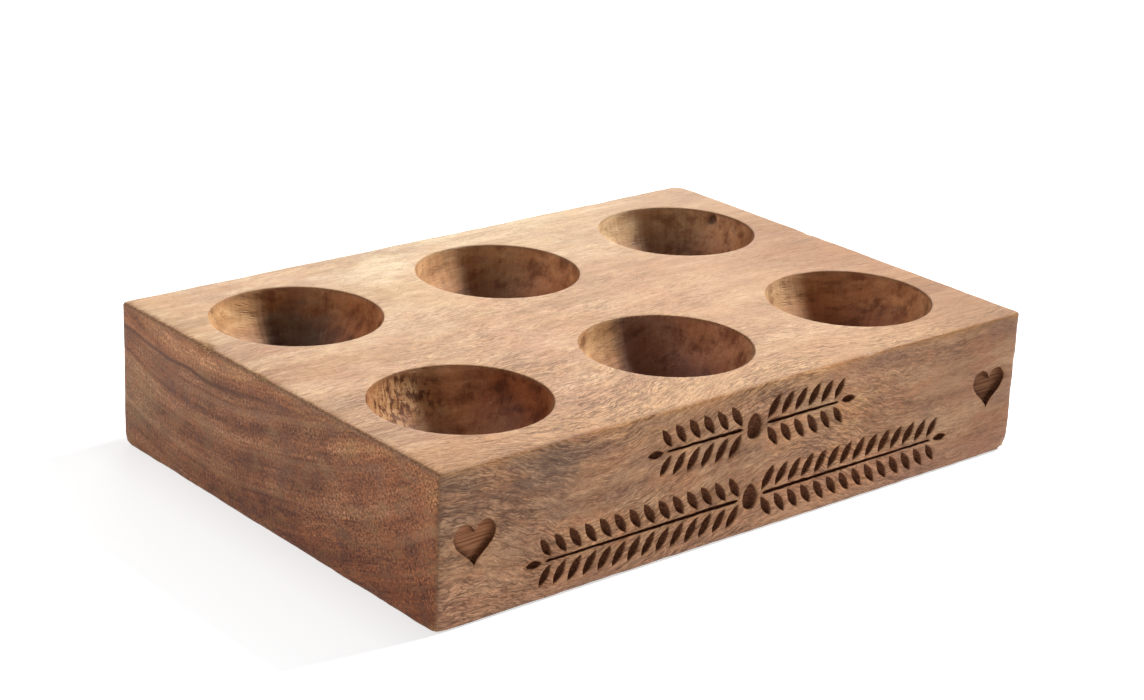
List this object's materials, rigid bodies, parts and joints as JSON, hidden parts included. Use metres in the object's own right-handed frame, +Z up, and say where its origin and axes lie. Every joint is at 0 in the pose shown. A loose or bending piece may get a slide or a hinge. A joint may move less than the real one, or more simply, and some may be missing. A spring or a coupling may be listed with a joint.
{
  "type": "egg holder tray",
  "caption": "Rectangular solid-wood block with two rows of round hollows for eggs, rounded edges and a shallow carved leaf and heart front.",
  "frame": {"origin": "middle of the flat underside, so the block stands on Z = 0", "axes": "+X along the length, which is also the direction of the grain; +Z up through the hollows; the carved long face is the -Y side"},
  "size_m": [0.2, 0.14, 0.0408],
  "materials": {
    "wood": "satin oiled hardwood with visible grain; carved pockets scorched dark brown"
  },
  "bodies": {
    "root": {"egg_tray_block": "wood"}
  },
  "joints": []
}
